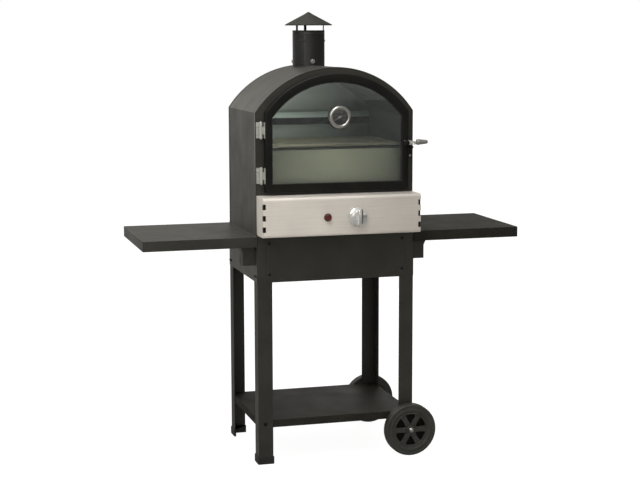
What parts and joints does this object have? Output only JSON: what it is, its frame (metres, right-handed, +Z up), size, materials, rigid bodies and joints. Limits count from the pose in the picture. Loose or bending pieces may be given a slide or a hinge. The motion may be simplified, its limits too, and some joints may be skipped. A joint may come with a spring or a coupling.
{
  "type": "gas pizza oven trolley",
  "caption": "Arched gas-fired pizza oven with glass door and capped flue on an angle-leg trolley with side shelves, lower shelf and wheels.",
  "frame": {"origin": "centre of the footprint on the floor, the middle of the bounding box", "axes": "+Z up, -Y to the front with the door and control panel, +X to the wheel side"},
  "size_m": [1.296, 0.58, 1.5],
  "materials": {
    "powder_coat": "satin",
    "cast_paint": "satin",
    "stainless": "brushed",
    "liner_steel": "satin",
    "zinc_steel": "satin",
    "chrome": "polished",
    "glass": "clear",
    "stone": "matte",
    "wool": "matte",
    "seal_rope": "matte",
    "cast_burner": "rough",
    "brass": "satin",
    "red_plastic": "gloss",
    "black_plastic": "matte",
    "tyre_plastic": "matte",
    "dial_face": "matte",
    "needle_paint": "satin"
  },
  "bodies": {
    "oven": {"apron_front": "powder_coat", "apron_left": "powder_coat", "apron_rear": "powder_coat", "apron_right": "powder_coat", "axle": "zinc_steel", "axle_fixings": "zinc_steel", "back_panel": "powder_coat", "baking_stone": "stone", "bottom_shelf": "powder_coat", "brackets_left": "powder_coat", "brackets_right": "powder_coat", "burner_tube": "cast_burner", "burner_venturi": "cast_burner", "cap_struts": "liner_steel", "chamber_floor": "liner_steel", "chamber_liner": "liner_steel", "chimney_cap": "powder_coat", "chimney_pipe": "powder_coat", "control_panel": "stainless", "deck_plate": "powder_coat", "flame_spreader": "liner_steel", "flue_spigot": "liner_steel", "foot_caps": "black_plastic", "front_surround": "powder_coat", "gas_jet": "brass", "gas_valve": "brass", "hinges_fixed": "zinc_steel", "igniter_barrel": "black_plastic", "igniter_electrode": "cast_paint", "insulation": "wool", "latch_keeper": "zinc_steel", "leg_front_left": "powder_coat", "leg_front_right": "powder_coat", "leg_rear_left": "powder_coat", "leg_rear_right": "powder_coat", "oven_wrap": "powder_coat", "shelf_left": "powder_coat", "shelf_right": "powder_coat"},
    "door": {"door_frame": "powder_coat", "door_glass": "glass", "glass_retainer": "liner_steel", "door_seal": "seal_rope", "hinges_door": "zinc_steel", "thermometer_case": "chrome", "thermometer_dial": "dial_face", "thermometer_lens": "glass", "thermometer_stem": "zinc_steel", "latch_pivot": "zinc_steel"},
    "latch": {"latch_lever": "zinc_steel", "latch_grip": "chrome"},
    "needle": {"thermometer_needle": "needle_paint"},
    "valve_slide": {"push_collar": "brass"},
    "knob": {"gas_knob": "chrome"},
    "igniter": {"igniter_button": "red_plastic"},
    "wheel_front": {"wheel_front_rim": "black_plastic", "wheel_front_tyre": "tyre_plastic"},
    "wheel_rear": {"wheel_rear_rim": "black_plastic", "wheel_rear_tyre": "tyre_plastic"}
  },
  "joints": [
    {"name": "door_hinge", "type": "hinge", "parent": "oven", "child": "door", "pos_m": [-0.254, -0.173, 1.04], "axis": [0, 0, -1], "range_deg": [0, 110]},
    {"name": "latch_turn", "type": "hinge", "parent": "door", "child": "latch", "pos_m": [0.238, -0.19, 1.066], "axis": [0, 1, 0], "range_deg": [0, 30]},
    {"name": "needle_turn", "type": "hinge", "parent": "door", "child": "needle", "pos_m": [0.008, -0.188, 1.155], "axis": [0, 1, 0], "range_deg": [0, 240], "stiffness_Nm_per_rad": 0.002},
    {"name": "knob_push", "type": "slide", "parent": "oven", "child": "valve_slide", "axis": [0, 1, 0], "range_m": [0, 0.004], "stiffness_N_per_m": 900, "springref_m": -0.004},
    {"name": "knob_turn", "type": "hinge", "parent": "valve_slide", "child": "knob", "pos_m": [0.048, -0.266, 0.834], "axis": [0, -1, 0], "range_deg": [0, 180]},
    {"name": "igniter_press", "type": "slide", "parent": "oven", "child": "igniter", "axis": [0, 1, 0], "range_m": [0, 0.006], "stiffness_N_per_m": 700, "springref_m": -0.004},
    {"name": "wheel_front_roll", "type": "hinge", "parent": "oven", "child": "wheel_front", "pos_m": [0.254, -0.1965, 0.089], "axis": [0, 1, 0], "continuous": true},
    {"name": "wheel_rear_roll", "type": "hinge", "parent": "oven", "child": "wheel_rear", "pos_m": [0.254, 0.2645, 0.089], "axis": [0, 1, 0], "continuous": true}
  ]
}
